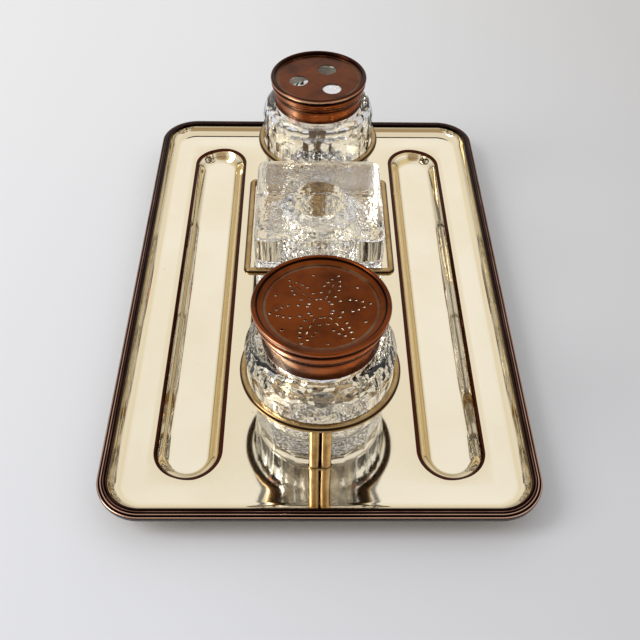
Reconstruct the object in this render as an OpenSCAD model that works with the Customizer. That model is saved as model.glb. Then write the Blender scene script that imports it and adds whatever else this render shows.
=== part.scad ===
// Desk inkstand: a plated tray with two pen troughs, and three galleries that hold
// a pounce pot, a square glass inkwell and a quill pot. Sizes are in millimetres, +Z is up.
// The origin is on the table under the middle of the tray, and +Y runs to the quill pot.

/* [Tray] */
// Length of the tray over its reeded rim
tray_length = 255; // [240:1:290]
// Width of the tray over its reeded rim
tray_width = 170; // [160:1:210]
// Corner radius of the tray over its reeded rim
tray_corner_r = 18; // [17:0.5:26]
// Thickness of the pressed sheet
sheet = 1.2; // [0.8:0.1:1.5]
// Height of the flat floor above the table
floor_z = 8.5; // [8:0.1:12]
// Height of the rim above the flat floor
rim_rise = 5.7; // [5:0.1:7]
// Width of the reeded rim
rim_width = 4.2; // [3.6:0.1:5]
// Number of reeds across the rim
reed_count = 4; // [3:1:5]
// Radius of the concave sweep between the floor and the rim
sweep_r = 4.8; // [4.5:0.1:5.5]
// Width of the faint dish inside the sweep
dish_width = 7; // [6:0.5:8.5]
// Rise of the faint dish where it meets the sweep
dish_rise = 0.4; // [0.2:0.05:0.6]

/* [Pen troughs] */
// Distance from each end of the tray to the lip of a trough
trough_end = 20.7; // [19:0.1:30]
// Width of a trough between its lips
trough_width = 25.5; // [22:0.5:28]
// Distance from each side of the tray to the middle of a trough
trough_side = 32.4; // [30:0.1:34]
// Depth of a trough below the floor
trough_depth = 5.2; // [4.5:0.1:5.8]
// Radius of the rounded lip
trough_lip_r = 1.2; // [0.8:0.1:1.5]
// Width of the hollow sweep from the lip down to the bottom
trough_hollow = 6; // [4.5:0.1:7]

/* [Feet] */
// Gap between a foot's flange and the pressed end of the trough beside it
foot_gap = 0.85; // [0.4:0.05:2]
// Radius of the foot's soldering flange
foot_flange_r = 5.2; // [4.5:0.1:6]
// Radius of the turned bun
foot_bun_r = 5; // [4:0.1:6]

/* [Galleries] */
// Distance from the front end of the tray to the axis of the pounce pot
pounce_inset = 55.6; // [50:0.1:60]
// Distance from the back end of the tray to the axis of the quill pot
quill_inset = 44.9; // [43:0.1:50]
// Gap between the quill pot's ring and the inkwell's frame
well_gap = 5.8; // [5.5:0.05:14]
// Width of the gallery bars, seen from above
bar_width = 2.8; // [2:0.1:3]
// Height of the gallery bars
bar_height = 3; // [2.4:0.1:3.6]
// Height of the top of the bars above the tray floor
gallery_height = 27; // [24:0.5:30]
// Gap between a round pot and its ring, at the top of the ring
ring_gap = 0.3; // [0.2:0.1:0.9]
// Gap between the inkwell and its square frame
frame_gap = 1.9; // [0.6:0.1:2]
// Outer corner radius of the square frame
frame_corner_r = 3.2; // [3.1:0.1:4.5]

/* [Posts] */
// Radius of each half-round column; two stand side by side
column_r = 2.3; // [1.8:0.1:2.6]
// How far the two columns run into each other
column_overlap = 0.3; // [0.2:0.1:0.6]
// Height of the flange at the foot of a post
post_foot_height = 0.9; // [0.6:0.1:1.5]
// How far the flange stands out round the columns
post_foot_lip = 0.35; // [0.2:0.05:0.8]
// Radius of the stud under each post
stud_r = 1.25; // [1:0.05:1.5]
// Gap between a stud and its hole in the tray
stud_gap = 0.15; // [0.1:0.05:0.3]
// How far a stud shows below its nut
stud_tip = 0.6; // [0.3:0.1:0.8]
// Radius of the washers
washer_r = 3.2; // [2.6:0.1:4]
// Thickness of the washers
washer_thickness = 0.6; // [0.4:0.1:0.8]
// Width across the flats of the square nuts
nut_width = 4.6; // [4:0.1:5.5]
// Thickness of the nuts
nut_thickness = 2; // [1.5:0.1:2.4]

/* [Pounce pot] */
// Largest radius of the pounce pot
pounce_pot_r = 29.4; // [28:0.1:30]
// Radius of its foot, across the corners of the panels
pounce_base_r = 25.7; // [24.5:0.1:26.5]
// Radius of its neck
pounce_neck_r = 21.3; // [20.5:0.1:22]
// Height of its shoulder above the tray floor
pounce_shoulder_z = 44.5; // [42:0.5:47]
// Height of its neck above the shoulder
pounce_neck_height = 11; // [9:0.5:11.5]
// Number of cut panels round it
pounce_panels = 16; // [14:1:18]

/* [Quill pot] */
// Largest radius of the quill pot
quill_pot_r = 27.5; // [26.5:0.1:28]
// Radius of its foot, across the corners of the panels
quill_base_r = 26.6; // [25:0.1:27]
// Radius of its neck
quill_neck_r = 20.2; // [19.5:0.1:21]
// Height of its shoulder above the tray floor
quill_shoulder_z = 47.7; // [45:0.1:49]
// Height of its neck above the shoulder
quill_neck_height = 7.7; // [7:0.1:9]
// Number of cut panels round it
quill_panels = 18; // [16:1:20]

/* [Glass] */
// Wall of both pots, behind the middle of a panel
glass_wall = 3.6; // [3:0.1:4.2]
// Thickness of the bottom of both pots
glass_bottom = 6; // [5:0.5:9]
// Wall of the necks
neck_wall = 3.2; // [2.5:0.1:4]
// Width of the flat ledge on the shoulder that a cover rests on
ledge_width = 1.5; // [1.3:0.1:1.8]
// Height of the rounded shoulder above the arches
shoulder_rise = 9; // [8:0.1:10]
// Depth of the diamond cuts in the rounded shoulder
diamond_depth = 0.5; // [0.3:0.05:0.7]

/* [Covers] */
// Height of the pounce plate above the neck
pounce_plate_lift = 3.6; // [3:0.1:5]
// How far the pounce cover's rim stands out from its skirt
pounce_rim_out = 3.3; // [2.8:0.1:4.4]
// Depth of the pierced plate below the rim
pounce_recess = 2.1; // [1.6:0.1:3]
// Height of the mouldings between the skirt and the pounce cover's rim
pounce_moulding = 8.7; // [7.5:0.1:9.5]
// Height of the quill plate above the neck
quill_plate_lift = 3.6; // [3:0.1:5]
// How far the quill cover's rim stands out from its skirt
quill_rim_out = 1.9; // [1.7:0.1:3.5]
// Depth of the quill plate below the rim
quill_recess = 1.8; // [1.5:0.1:2.4]
// Height of the mouldings between the skirt and the quill cover's rim
quill_moulding = 6.6; // [5.5:0.1:8]
// Wall of the covers' skirts
skirt_wall = 0.95; // [0.8:0.05:1.2]
// Gap between a skirt and the neck inside it
neck_gap = 0.25; // [0.15:0.05:0.4]
// Thickness of the plates
plate_thickness = 0.8; // [0.6:0.1:1]
// Gap round the edge of a plate
plate_gap = 0.05; // [0.02:0.01:0.1]
// How far a cover's lip stands in from the bore of its skirt
lip_in = 0.2; // [0.1:0.05:0.5]
// How far the lip laps over the edge of its plate
plate_lap = 0.65; // [0.5:0.05:0.9]

/* [Piercing] */
// Radius of a pounce hole
pounce_hole_r = 0.58; // [0.4:0.02:0.7]
// Number of petals in the pierced rosette
petals = 6; // [5:1:7]
// Angle of the first petal
petal_turn = 8; // [0:1:20]
// Distance from the cover's lip to a petal's tip
petal_margin = 2.95; // [2.5:0.05:3.5]
// How far the rosette is to the left of the middle of its plate
rosette_left = 0.4; // [0:0.1:1]
// How far the rosette is in front of the middle of its plate
rosette_front = 1.3; // [0:0.1:1.5]
// Largest half-width of a petal
petal_half_width = 3; // [2.5:0.1:3.2]
// Radius of a quill hole
quill_hole_r = 4.45; // [3.5:0.05:5]
// Number of quill holes
quill_holes = 3; // [2:1:4]
// Radius of the circle that the quill holes lie on
quill_circle_r = 10; // [9:0.5:11]
// Angle of the first quill hole
quill_turn = 67; // [0:1:90]
// How far the quill holes are to the right of the middle of their plate
quill_right = 0.35; // [0:0.05:1]
// How far the quill holes are in front of the middle of their plate
quill_front = 1.4; // [0:0.1:1.5]

/* [Inkwell] */
// Side of the square glass block
well_side = 56.5; // [54:0.5:58]
// Height of the block
well_height = 41; // [36:0.5:44]
// Radius of its upright edges
well_edge_r = 4.5; // [3:0.5:6]
// Bevel round its top
well_bevel = 0.9; // [0.5:0.1:1.5]
// Radius of the mouth
well_mouth_r = 12; // [10:0.5:14]
// Radius of the round ink chamber
well_chamber_r = 18; // [16:0.5:20]
// Thickness of glass under the chamber
well_bottom = 8; // [6:0.5:9]

/* [Hidden] */
$fn = 96;
eps = 0.01;

PLATE = [0.86, 0.80, 0.66];
GILT = [0.72, 0.55, 0.26];
COPPER = [0.52, 0.24, 0.12];
CUT_GLASS = [0.85, 0.90, 0.92, 0.55];

half_l = tray_length / 2;
half_w = tray_width / 2;
reed_overlap = 0.04;
reed_drop = 0.8;
reed_r = (rim_width + (reed_count - 1) * reed_overlap) / reed_count / 2;
edge_wrap = 2 * reed_r;
flange_drop = 1.7;
flange_z = rim_rise - flange_drop;
sweep_inner = rim_width + sweep_r;
hook_inset = 0.15;
hook_lap = 0.2;
trough_flare = 0.4;
trough_offset = half_w - trough_side;
trough_run = half_l - trough_end - trough_width / 2;
foot_reach = trough_width / 2 + sheet + trough_flare + foot_gap + foot_flange_r;
pounce_ring_r = side_r(pounce_base_r, pounce_pot_r, pounce_shoulder_z, gallery_height) + ring_gap;
quill_ring_r = side_r(quill_base_r, quill_pot_r, quill_shoulder_z, gallery_height) + ring_gap;
frame_half = well_side / 2 + frame_gap;
bar_z = floor_z + gallery_height - bar_height;
pounce_y = half_l - pounce_inset;
quill_y = half_l - quill_inset;
well_y = quill_y - quill_ring_r - bar_width - well_gap - bar_width - frame_half;
pounce_neck_top = pounce_shoulder_z + pounce_neck_height;
quill_neck_top = quill_shoulder_z + quill_neck_height;
pounce_plate_z = pounce_neck_top + pounce_plate_lift;
quill_plate_z = quill_neck_top + quill_plate_lift;
seat_lap = 0.4;
roll_r = 1;
roll_from = -60;
roll_to = 150;
lip_round = 0.4;
crown_gap = 0.5;
well_neck = 7;
well_hollow_r = 8;
well_foot_bevel = 0.6;
mouth_bevel = 0.8;
plate_grip = neck_gap - lip_in + plate_lap - plate_gap;
// Mouldings of a cover, from the skirt up to the rolled rim, each point given as
// [share of the rim's reach, share of the mouldings' height].
MOULDINGS = [[0.1, 0.01], [0.1, 0.06], [0.05, 0.08], [0.08, 0.16], [0.16, 0.26], [0.3, 0.36], [0.44, 0.42],
             [0.44, 0.46], [0.54, 0.48], [0.58, 0.54], [0.54, 0.6], [0.5, 0.62], [0.6, 0.65], [0.78, 0.68],
             [0.82, 0.75], [0.78, 0.82], [0.66, 0.85], [0.62, 0.92]];
glass_round = 0.7;
hollow_round = 5;
pounce_pos = [0, -pounce_y];
quill_pos = [0, quill_y];
well_pos = [0, well_y];
// Each post: where the flat back of its columns is, and the direction it faces.
posts = [[[0, -pounce_y - pounce_ring_r], 1], [[0, -pounce_y + pounce_ring_r], -1],
         [[0, well_y - frame_half], 1], [[0, well_y + frame_half], -1],
         [[0, quill_y - quill_ring_r], 1], [[0, quill_y + quill_ring_r], -1]];
stud_back = 0.5 * column_r;
column_x = column_r - column_overlap / 2;
// A flat seat in the dish for each post's flange, a little larger all round.
seat_gap = 0.1;
seat_half = column_x + column_r + post_foot_lip + seat_gap;
seat_reach = column_r + post_foot_lip + seat_gap;
arc_steps = 10;

// Points of an arc in [across, up], from angle a0 to a1 in degrees.
function arc(c, r, a0, a1, n = arc_steps) =
    [for (i = [0:n]) let (a = a0 + (a1 - a0) * i / n) [c[0] + r * cos(a), c[1] + r * sin(a)]];
function flipped(points) = [for (i = [len(points) - 1:-1:0]) points[i]];
// Radius of a pot's leaning side at height z, between its foot and its girdle under the rounded shoulder.
function side_r(base_r, body_r, shoulder_z, z) = base_r + (body_r - base_r) * z / (shoulder_z - shoulder_rise);
// Height of the faint dish, a distance d in from the rim's edge.
function dish(d) = dish_rise * pow(max(0, (sweep_inner + dish_width - d) / dish_width), 2);

// Sweeps its children round a rectangle with round corners. They are drawn in
// [distance in from the edge, height] and reach no further in than corner_r.
module swept(lx, ly, corner_r) {
    run_x = lx - corner_r;
    run_y = ly - corner_r;
    for (sx = [-1, 1], sy = [-1, 1]) {
        translate([sx * run_x, sy * run_y, 0])
            rotate([0, 0, sx > 0 ? (sy > 0 ? 0 : 270) : (sy > 0 ? 90 : 180)])
                rotate_extrude(angle = 90) translate([corner_r, 0]) mirror([1, 0]) children();
    }
    for (s = [-1, 1]) {
        translate([s * run_x, 0, 0]) rotate([90, 0, s > 0 ? 0 : 180])
            linear_extrude(2 * run_y, center = true) translate([corner_r, 0]) mirror([1, 0]) children();
        translate([0, s * run_y, 0]) rotate([90, 0, s > 0 ? 90 : 270])
            linear_extrude(2 * run_x, center = true) translate([corner_r, 0]) mirror([1, 0]) children();
    }
}

// Solid with the plan of a trough, below the section in [distance in from the lip, height].
module trough_shape(section) {
    turned = [for (p = section) [trough_width / 2 - p[0], p[1]]];
    for (s = [-1, 1]) {
        translate([0, s * trough_run, 0]) rotate([0, 0, s > 0 ? 0 : 180])
            rotate_extrude(angle = 180) polygon(turned);
        rotate([90, 0, s > 0 ? 0 : 180]) linear_extrude(2 * trough_run, center = true) polygon(turned);
    }
}

// The pan's section: flange, concave sweep, faint dish and floor, a sheet thick.
function pan_section() =
    let (sweep_c = [sweep_inner, dish_rise + sweep_r],
         a_top = 180 + asin((dish_rise + sweep_r - flange_z) / sweep_r))
    concat(
        [[edge_wrap, flange_z]],
        arc(sweep_c, sweep_r, a_top, 270),
        [for (i = [1:6]) let (d = sweep_inner + dish_width * i / 6) [d, dish(d)]],
        [[tray_corner_r, 0], [tray_corner_r, -sheet]],
        [for (i = [6:-1:1]) let (d = sweep_inner + dish_width * i / 6) [d, dish(d) - sheet]],
        flipped(arc(sweep_c, sweep_r + sheet, a_top + 12, 270)),
        [[edge_wrap, flange_z - sheet]]);

// A trough's hollow: round lip, a quarter of an ellipse down the wall, and a flat bottom.
function trough_section(grow) =
    let (rise = trough_depth - trough_lip_r,
         lip = arc([-trough_lip_r, -trough_lip_r], trough_lip_r, 90, 0, 6))
    concat(
        [[trough_width / 2, grow > 0 ? -eps : 1], [-trough_lip_r, grow > 0 ? -eps : 1]],
        grow > 0 ? [[-grow - trough_flare, -eps]] : lip,
        [for (a = [180:10:270])
            [trough_hollow + (trough_hollow + grow) * cos(a), (rise + grow) * sin(a) - trough_lip_r]],
        [[trough_width / 2, -trough_depth - grow]]);

module tray_pan() {
    color(PLATE) translate([0, 0, floor_z]) difference() {
        union() {
            swept(half_w, half_l, tray_corner_r) polygon(pan_section());
            translate([-half_w + tray_corner_r, -half_l + tray_corner_r, -sheet])
                cube([tray_width - 2 * tray_corner_r, tray_length - 2 * tray_corner_r, sheet]);
            for (s = [-1, 1]) translate([s * trough_offset, 0, 0]) trough_shape(trough_section(sheet));
        }
        for (s = [-1, 1]) translate([s * trough_offset, 0, 0]) trough_shape(trough_section(0));
        for (p = posts) translate([p[0][0], p[0][1], 0]) rotate([0, 0, p[1] > 0 ? 0 : 180]) {
            translate([0, -stud_back, -sheet - 1]) cylinder(r = stud_r + stud_gap, h = sheet + 2);
            translate([-seat_half, -seat_reach, 0])
                cube([2 * seat_half, seat_reach + seat_gap, dish_rise + 1]);
        }
    }
}

// The reeded mount laps over the pan's flange and down round its edge.
module reeded_rim() {
    color(COPPER) translate([0, 0, floor_z]) swept(half_w, half_l, tray_corner_r) rim_section();
}

// Round reeds side by side on a strip that hooks over the flange's edge.
module rim_section() {
    reed_pitch = 2 * reed_r - reed_overlap;
    hook_z = flange_z - sheet - hook_lap;
    polygon([[hook_inset, hook_z], [edge_wrap, hook_z], [edge_wrap, flange_z], [rim_width, flange_z],
             [rim_width, rim_rise - reed_r], [hook_inset, rim_rise - reed_r - reed_drop]]);
    for (i = [0:reed_count - 1]) {
        reed_z = rim_rise - reed_r - reed_drop * pow((reed_count - 1 - i) / (reed_count - 1), 2);
        translate([reed_r + i * reed_pitch, reed_z]) circle(reed_r, $fn = 24);
    }
}

// A turned bun foot, soldered under the floor.
module foot(sx, sy) {
    top = floor_z - sheet;
    flange = 0.9;
    bun = 0.34 * top;
    waist_r = 0.62 * foot_bun_r;
    foot_x = trough_offset + foot_reach * cos(45);
    foot_y = trough_run + foot_reach * sin(45);
    color(GILT) translate([sx * foot_x, sy * foot_y, 0]) rotate_extrude() union() {
        intersection() {
            translate([foot_bun_r - bun, bun]) circle(bun, $fn = 48);
            translate([eps, 0]) square([foot_bun_r, 2 * bun]);
        }
        square([foot_bun_r - bun, 2 * bun]);
        square([waist_r, top]);
        translate([0, top - flange]) square([foot_flange_r, flange]);
    }
}
module foot_front_left() { foot(-1, -1); }
module foot_front_right() { foot(1, -1); }
module foot_back_left() { foot(-1, 1); }
module foot_back_right() { foot(1, 1); }

// Section of a gallery bar: flat inside, half round outside, in [out from the inner face, up].
module bar_section() {
    round_r = bar_height / 2;
    square([bar_width - round_r + eps, bar_height]);
    translate([bar_width - round_r, round_r]) circle(round_r, $fn = 48);
}

module gallery_ring(at, inner_r) {
    color(GILT) translate([at[0], at[1], bar_z]) rotate_extrude() intersection() {
        translate([inner_r, 0]) bar_section();
        translate([inner_r, 0]) square([bar_width, bar_height]);
    }
}
module pounce_ring() { gallery_ring(pounce_pos, pounce_ring_r); }
module quill_ring() { gallery_ring(quill_pos, quill_ring_r); }

// The square frame: four bars and four bent corners of the same section.
module inkwell_frame() {
    inner_r = frame_corner_r - bar_width;
    run = frame_half - inner_r;
    color(GILT) translate([well_pos[0], well_pos[1], bar_z]) union() {
        for (a = [0:90:270]) rotate([0, 0, a]) {
            translate([run, run, 0]) rotate_extrude(angle = 90) clipped_bar(inner_r);
            translate([0, run, 0]) translate([run, 0, 0]) rotate([90, 0, 0])
                linear_extrude(2 * run) clipped_bar(inner_r);
        }
    }
}
module clipped_bar(inner_r) {
    intersection() {
        translate([inner_r, 0]) bar_section();
        translate([inner_r, 0]) square([bar_width, bar_height]);
    }
}

// A post: two half-round columns side by side on a small flange, with a stud below the tray.
module post(i) {
    stud_length = sheet + washer_thickness + nut_thickness + stud_tip;
    color(GILT) translate([posts[i][0][0], posts[i][0][1], floor_z])
    rotate([0, 0, posts[i][1] > 0 ? 0 : 180]) {
        for (s = [-1, 1]) {
            half_column(s * column_x, column_r, gallery_height - bar_height);
            half_column(s * column_x, column_r + post_foot_lip, post_foot_height);
        }
        translate([0, -stud_back, -stud_length]) cylinder(r = stud_r, h = stud_length + post_foot_height);
    }
}
module half_column(x, r, h) {
    translate([x, 0, 0]) intersection() {
        cylinder(r = r, h = h, $fn = 48);
        translate([-r, -r, 0]) cube([2 * r, r, h]);
    }
}
module pounce_post_front() { post(0); }
module pounce_post_back() { post(1); }
module inkwell_post_front() { post(2); }
module inkwell_post_back() { post(3); }
module quill_post_front() { post(4); }
module quill_post_back() { post(5); }

// Places its children on the axis of every stud, with 0 at the underside of the tray.
module at_studs() {
    for (p = posts) translate([p[0][0], p[0][1] - p[1] * stud_back, floor_z - sheet]) children();
}
module stud_washers() {
    color(GILT) at_studs() translate([0, 0, -washer_thickness]) difference() {
        cylinder(r = washer_r, h = washer_thickness);
        translate([0, 0, -1]) cylinder(r = stud_r + stud_gap, h = washer_thickness + 2);
    }
}
module stud_nuts() {
    color(GILT) at_studs() translate([0, 0, -washer_thickness - nut_thickness]) difference() {
        translate([-nut_width / 2, -nut_width / 2, 0]) cube([nut_width, nut_width, nut_thickness]);
        translate([0, 0, -1]) cylinder(r = stud_r, h = nut_thickness + 2);
    }
}

// A cut-glass pot: a turned body with panels cut up its sides, whose tops arch where
// they run out on the rounded shoulder, and a row of diamonds cut between the arches.
module cut_pot(at, body_r, base_r, neck_r, shoulder_z, neck_height, panels) {
    seat_r = neck_r + neck_gap + skirt_wall + seat_lap;
    ledge_r = seat_r + ledge_width;
    girdle_z = shoulder_z - shoulder_rise;
    top_z = shoulder_z + neck_height;
    step = 360 / panels;
    flat_base = base_r * cos(step / 2);
    flat_girdle = body_r * cos(step / 2);
    lean = atan((flat_girdle - flat_base) / girdle_z);
    bore_r = flat_base - glass_wall;
    mouth_r = neck_r - neck_wall;
    // The shoulder is a quarter of an ellipse, and a diamond is cut square to it half way up.
    shoulder_run = body_r - ledge_r;
    mid = [ledge_r + shoulder_run * cos(35), girdle_z + shoulder_rise * sin(35)];
    mid_lean = atan(shoulder_run * sin(35) / (shoulder_rise * cos(35)));
    turned = concat(
        [[0, 0], [base_r - glass_round, 0], [base_r, glass_round]],
        [for (a = [0:9:81]) [ledge_r + shoulder_run * cos(a), girdle_z + shoulder_rise * sin(a)]],
        [[ledge_r, shoulder_z], [neck_r, shoulder_z], [neck_r, top_z - glass_round],
         [neck_r - glass_round, top_z], [0, top_z]]);
    hollow = concat(
        [[0, glass_bottom]],
        arc([bore_r - hollow_round, glass_bottom + hollow_round], hollow_round, -90, 0, 5),
        [for (a = [0:15:90])
            [mouth_r + (bore_r - mouth_r) * cos(a), girdle_z + (shoulder_rise - 1) * sin(a)]],
        [[mouth_r, top_z + 1], [0, top_z + 1]]);
    color(CUT_GLASS) translate([at[0], at[1], floor_z]) difference() {
        rotate_extrude() polygon(turned);
        for (i = [0:panels - 1]) {
            rotate([0, 0, (i + 0.5) * step]) translate([flat_base, 0, 0]) rotate([0, lean, 0])
                translate([0, -body_r / 2, -shoulder_rise])
                    cube([body_r, body_r, shoulder_z + shoulder_rise]);
            rotate([0, 0, i * step]) translate([mid[0], 0, mid[1]]) rotate([0, -mid_lean, 0])
                translate([-diamond_depth, -body_r / 2, -shoulder_rise / 2 - 1])
                    cube([body_r, body_r, shoulder_rise + 2]);
        }
        rotate_extrude() polygon(hollow);
    }
}
module pounce_pot() {
    cut_pot(pounce_pos, pounce_pot_r, pounce_base_r, pounce_neck_r, pounce_shoulder_z,
            pounce_neck_height, pounce_panels);
}
module quill_pot() {
    cut_pot(quill_pos, quill_pot_r, quill_base_r, quill_neck_r, quill_shoulder_z,
            quill_neck_height, quill_panels);
}

// A spun cover, turned: a skirt round the neck, mouldings that spread out above it, a rolled
// rim, and a slope down to the lip that is rubbed over the edge of the plate.
module collar(at, neck_r, shoulder_z, neck_top, plate_z, recess, rim_out, moulding) {
    inner_r = neck_r + neck_gap;
    outer_r = inner_r + skirt_wall;
    rim_r = outer_r + rim_out;
    lip_r = inner_r - lip_in;
    groove_r = lip_r + plate_lap;
    plate_top = plate_z + plate_thickness;
    top_z = plate_top + recess;
    skirt_top = top_z - 2 * roll_r - moulding;
    color(COPPER) translate([at[0], at[1], floor_z]) rotate_extrude() polygon(concat(
        [[inner_r, shoulder_z], [outer_r, shoulder_z], [outer_r, skirt_top]],
        [for (m = MOULDINGS) [outer_r + m[0] * rim_out, skirt_top + m[1] * moulding]],
        arc([rim_r - roll_r, top_z - roll_r], roll_r, roll_from, roll_to, 10),
        [[rim_r - 2.3 * roll_r, top_z - roll_r]],
        arc([lip_r + lip_round, plate_top], lip_round, 90, 180, 3),
        [[groove_r, plate_top], [groove_r, plate_z],
         [lip_r, plate_z], [lip_r, neck_top + crown_gap], [inner_r, neck_top + crown_gap]]));
}
module pounce_collar() {
    collar(pounce_pos, pounce_neck_r, pounce_shoulder_z, pounce_neck_top, pounce_plate_z,
           pounce_recess, pounce_rim_out, pounce_moulding);
}
module quill_collar() {
    collar(quill_pos, quill_neck_r, quill_shoulder_z, quill_neck_top, quill_plate_z,
           quill_recess, quill_rim_out, quill_moulding);
}

// The pounce plate: a rosette of pierced petals round a middle hole, with lone holes
// between the tips and a broken slit down the middle of two petals in three.
module pounce_plate() {
    tip_r = pounce_neck_r + neck_gap - lip_in - petal_margin;
    step = 360 / petals;
    rows = [0.24, 0.42, 0.62, 0.74, 0.86];
    color(COPPER) translate([pounce_pos[0], pounce_pos[1], floor_z + pounce_plate_z]) difference() {
        cylinder(r = pounce_neck_r + plate_grip, h = plate_thickness);
        translate([-rosette_left, -rosette_front]) {
            pierce(0, 0);
            for (i = [0:petals - 1]) rotate([0, 0, petal_turn + i * step]) {
                pierce(tip_r, 0);
                for (t = rows, s = [-1, 1]) pierce(t * tip_r, s * petal_half_width * sin(180 * pow(t, 1.15)));
                if (i % 3 != 0) for (t = [0.28, 0.46, 0.64]) slit(t * tip_r);
                rotate([0, 0, step / 2]) pierce(0.95 * tip_r, 0);
            }
        }
    }
}
module pierce(x, y) {
    translate([x, y, -1]) cylinder(r = pounce_hole_r, h = plate_thickness + 2, $fn = 16);
}
module slit(x) {
    slit_length = 2;
    slit_width = 0.5;
    translate([x, -slit_width / 2, -1]) cube([slit_length, slit_width, plate_thickness + 2]);
}

module quill_plate() {
    color(COPPER) translate([quill_pos[0], quill_pos[1], floor_z + quill_plate_z]) difference() {
        cylinder(r = quill_neck_r + plate_grip, h = plate_thickness);
        translate([quill_right, -quill_front, -1]) for (i = [0:quill_holes - 1])
            rotate([0, 0, quill_turn + i * 360 / quill_holes])
                translate([quill_circle_r, 0, 0]) cylinder(r = quill_hole_r, h = plate_thickness + 2);
    }
}

// The inkwell: a solid glass block with a round ink chamber under a narrower mouth.
module inkwell() {
    half = well_side / 2;
    upright = half - well_edge_r;
    step_in = well_chamber_r - well_mouth_r;
    neck_z = well_height - well_neck;
    hollow = concat(
        [[0, well_bottom]],
        arc([well_chamber_r - well_hollow_r, well_bottom + well_hollow_r], well_hollow_r, -90, 0, 6),
        arc([well_mouth_r, neck_z - step_in], step_in, 0, 90, 6),
        [[well_mouth_r, well_height - mouth_bevel],
         [well_mouth_r + 2 * mouth_bevel, well_height + mouth_bevel],
         [0, well_height + mouth_bevel]]);
    color(CUT_GLASS) translate([well_pos[0], well_pos[1], floor_z]) difference() {
        union() {
            swept(half, half, well_edge_r) polygon(well_section());
            translate([-upright, -upright, 0]) cube([2 * upright, 2 * upright, well_height]);
        }
        rotate_extrude() polygon(hollow);
    }
}
function well_section() =
    [[well_edge_r, 0], [well_foot_bevel, 0], [0, well_foot_bevel], [0, well_height - well_bevel],
     [well_bevel, well_height], [well_edge_r, well_height]];

tray_pan();
reeded_rim();
foot_front_left();
foot_front_right();
foot_back_left();
foot_back_right();
pounce_ring();
pounce_post_front();
pounce_post_back();
inkwell_frame();
inkwell_post_front();
inkwell_post_back();
quill_ring();
quill_post_front();
quill_post_back();
stud_washers();
stud_nuts();
pounce_pot();
pounce_collar();
pounce_plate();
inkwell();
quill_pot();
quill_collar();
quill_plate();
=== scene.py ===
import math

import bmesh
import bpy
import numpy as np
from mathutils import Matrix, Vector
from mathutils.geometry import delaunay_2d_cdt


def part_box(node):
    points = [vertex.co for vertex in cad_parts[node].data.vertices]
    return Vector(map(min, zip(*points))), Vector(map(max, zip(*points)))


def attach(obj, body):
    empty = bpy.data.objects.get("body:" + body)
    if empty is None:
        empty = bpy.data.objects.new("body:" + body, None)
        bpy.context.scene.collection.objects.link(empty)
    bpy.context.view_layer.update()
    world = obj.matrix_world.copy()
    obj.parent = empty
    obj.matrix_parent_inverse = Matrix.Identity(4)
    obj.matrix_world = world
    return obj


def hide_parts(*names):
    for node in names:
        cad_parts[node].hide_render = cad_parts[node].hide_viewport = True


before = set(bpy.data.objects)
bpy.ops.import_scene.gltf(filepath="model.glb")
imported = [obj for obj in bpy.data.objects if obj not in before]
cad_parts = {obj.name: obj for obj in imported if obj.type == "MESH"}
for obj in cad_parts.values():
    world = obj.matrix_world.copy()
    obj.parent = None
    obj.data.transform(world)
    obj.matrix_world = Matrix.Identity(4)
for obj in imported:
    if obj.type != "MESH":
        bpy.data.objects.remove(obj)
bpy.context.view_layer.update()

mm = 0.001
scene = bpy.context.scene


# Corners of a node's box, in mm.
def boxMm(node):
    lo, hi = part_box(node)
    return np.array(lo) / mm, np.array(hi) / mm


# Middle of a node's box from front to back.
def middleY(node):
    lo, hi = boxMm(node)
    return (lo[1] + hi[1]) / 2


halfX, halfY = boxMm("reeded_rim")[1][:2]
wellLo, wellHi = boxMm("inkwell")
floorZ = wellLo[2]    # flat floor of the tray
barZ = boxMm("inkwell_frame")[0][2]     # underside of the galleries
pounceY = middleY("pounce_pot")
quillY = middleY("quill_pot")
wellY = middleY("inkwell")


# Quads between neighbouring points of a grid whose rows are loops. If it is closed, its last row joins its
# first.
def gridQuads(rows, cols, closed, start):
    r = np.arange(rows if closed else rows - 1)[:, None]
    c = np.arange(cols)[None, :]
    r2 = (r + 1) % rows
    c2 = (c + 1) % cols
    quads = np.stack([r * cols + c, r * cols + c2, r2 * cols + c2, r2 * cols + c], axis=-1)
    return quads.reshape(-1, 4) + start


# Evenly spaced angles from a0 to a1 degrees, ends included, in radians.
def degrees(a0, a1, count):
    return np.radians(np.linspace(a0, a1, count))


# Arc in [across, up]: centre plus radius times cosine and sine.
def arc(c, r, a0, a1, count):
    a = degrees(a0, a1, count)
    return np.stack([c[0] + r * np.cos(a), c[1] + r * np.sin(a)], axis=-1)


# Path round a rectangle with round corners: each column has a centre and the way out from it,
# so the point a distance d in from the edge is centre + out * (cornerR - d).
def roundedPath(hx, hy, cornerR, arcCount, sideCount, centre=(0, 0)):
    cx, cy = hx - cornerR, hy - cornerR
    corners = np.array([[cx, cy], [-cx, cy], [-cx, -cy], [cx, -cy]])
    centres, outs = [], []
    for k in range(4):
        a = degrees(90 * k, 90 * k + 90, arcCount)
        out = np.stack([np.cos(a), np.sin(a)], axis=-1)
        centres.append(np.repeat(corners[k:k + 1], arcCount, axis=0))
        outs.append(out)
        run = corners[(k + 1) % 4] - corners[k]
        if np.abs(run).sum() > 0.01:
            t = np.linspace(0, 1, sideCount + 2)[1:-1, None]
            centres.append(corners[k] + run * t)
            outs.append(np.repeat(out[-1:], sideCount, axis=0))
    return np.concatenate(centres) + np.array(centre), np.concatenate(outs)


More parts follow.
